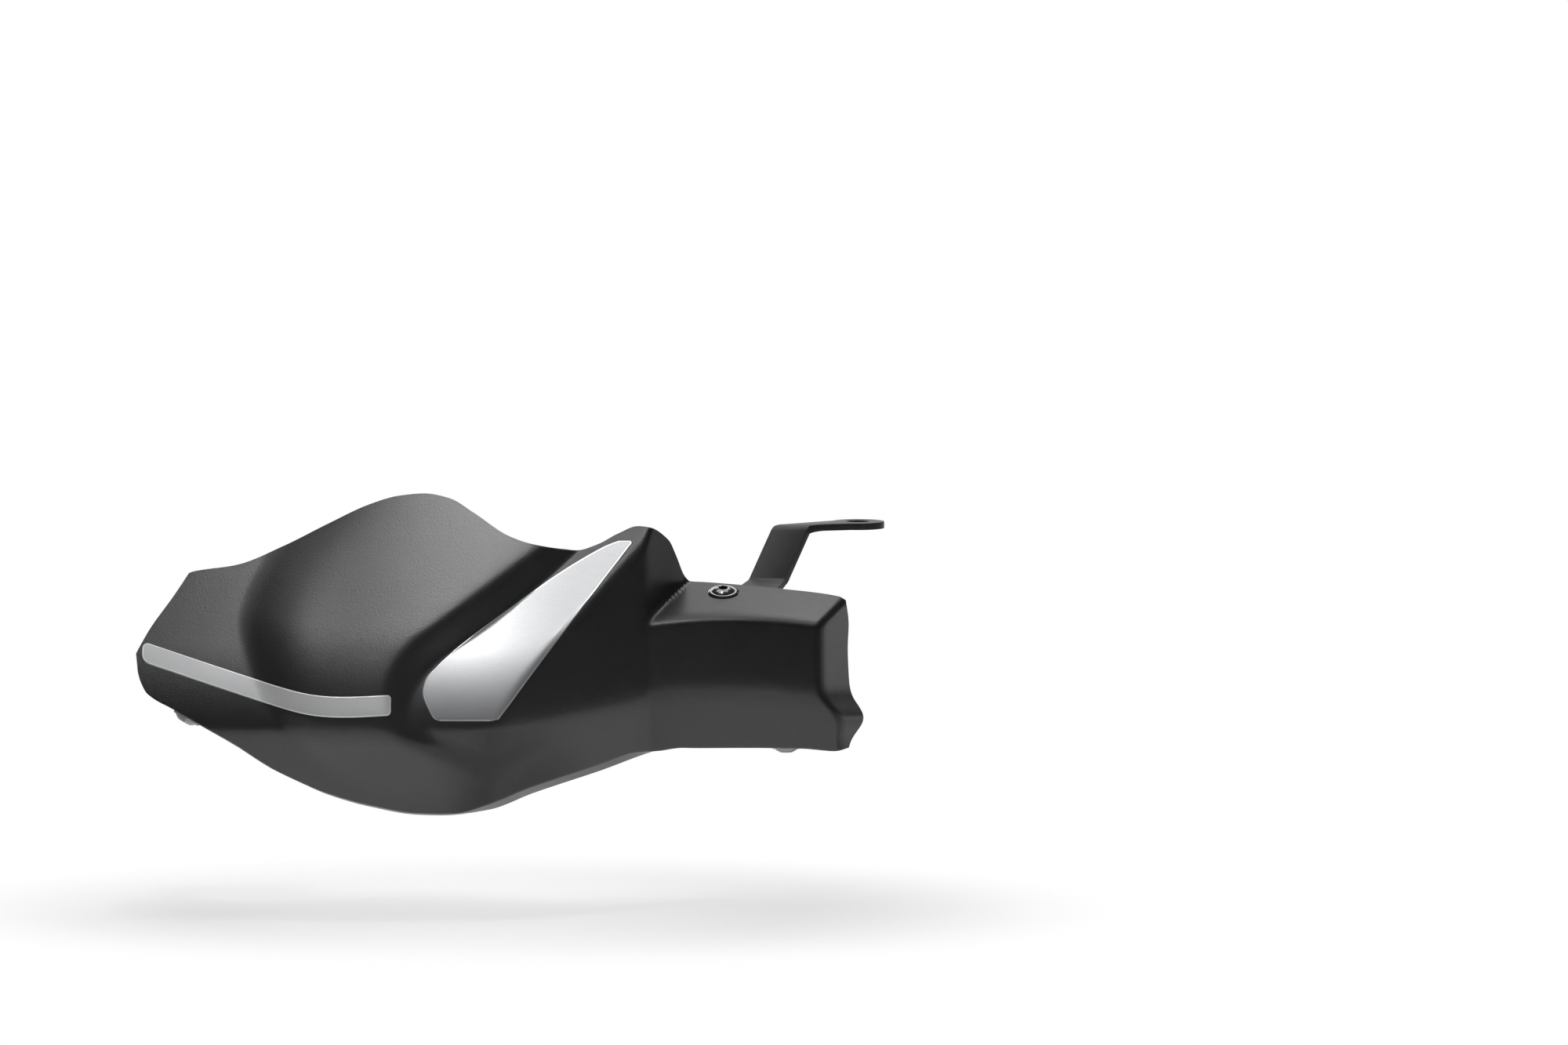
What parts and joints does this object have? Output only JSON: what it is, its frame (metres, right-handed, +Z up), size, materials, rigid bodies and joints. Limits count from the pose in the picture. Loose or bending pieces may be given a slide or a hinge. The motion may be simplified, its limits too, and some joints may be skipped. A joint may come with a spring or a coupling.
{
  "type": "motorcycle hand guard",
  "caption": "Moulded hand guard for a motorcycle's right handlebar, with silver films, a folded strap to the mirror stud and a bar-end clamp.",
  "frame": {"origin": "centre of the handlebar's open end, on the bar's axis, where the collar meets the tube", "axes": "+X inboard along the handlebar, +Y towards the rider, +Z up along the mirror stud"},
  "size_m": [0.3347, 0.1488, 0.143],
  "materials": {
    "shell_plastic": "fine grain",
    "silver_film": "satin film",
    "black_steel": "satin black",
    "black_screw": "gloss black",
    "zinc": "zinc plated",
    "rubber": "matt",
    "anodised": "black anodised"
  },
  "bodies": {
    "root": {"guard_shell": "shell_plastic", "edge_strip_film": "silver_film", "pillar_film": "silver_film", "mirror_strap": "black_steel", "clamp_arm": "anodised", "end_collar": "anodised", "end_bolt": "black_screw", "end_washer": "zinc", "expander": "rubber", "cone_nut": "zinc", "top_screw": "black_screw", "top_sleeve": "zinc", "top_pad": "rubber", "top_washer": "zinc", "top_nut": "zinc", "lower_screw": "black_screw", "lower_sleeve": "zinc", "lower_pad": "rubber", "lower_washer": "zinc", "lower_nut": "zinc", "outer_screw": "black_screw", "outer_sleeve": "zinc", "outer_pad": "rubber"}
  },
  "joints": []
}
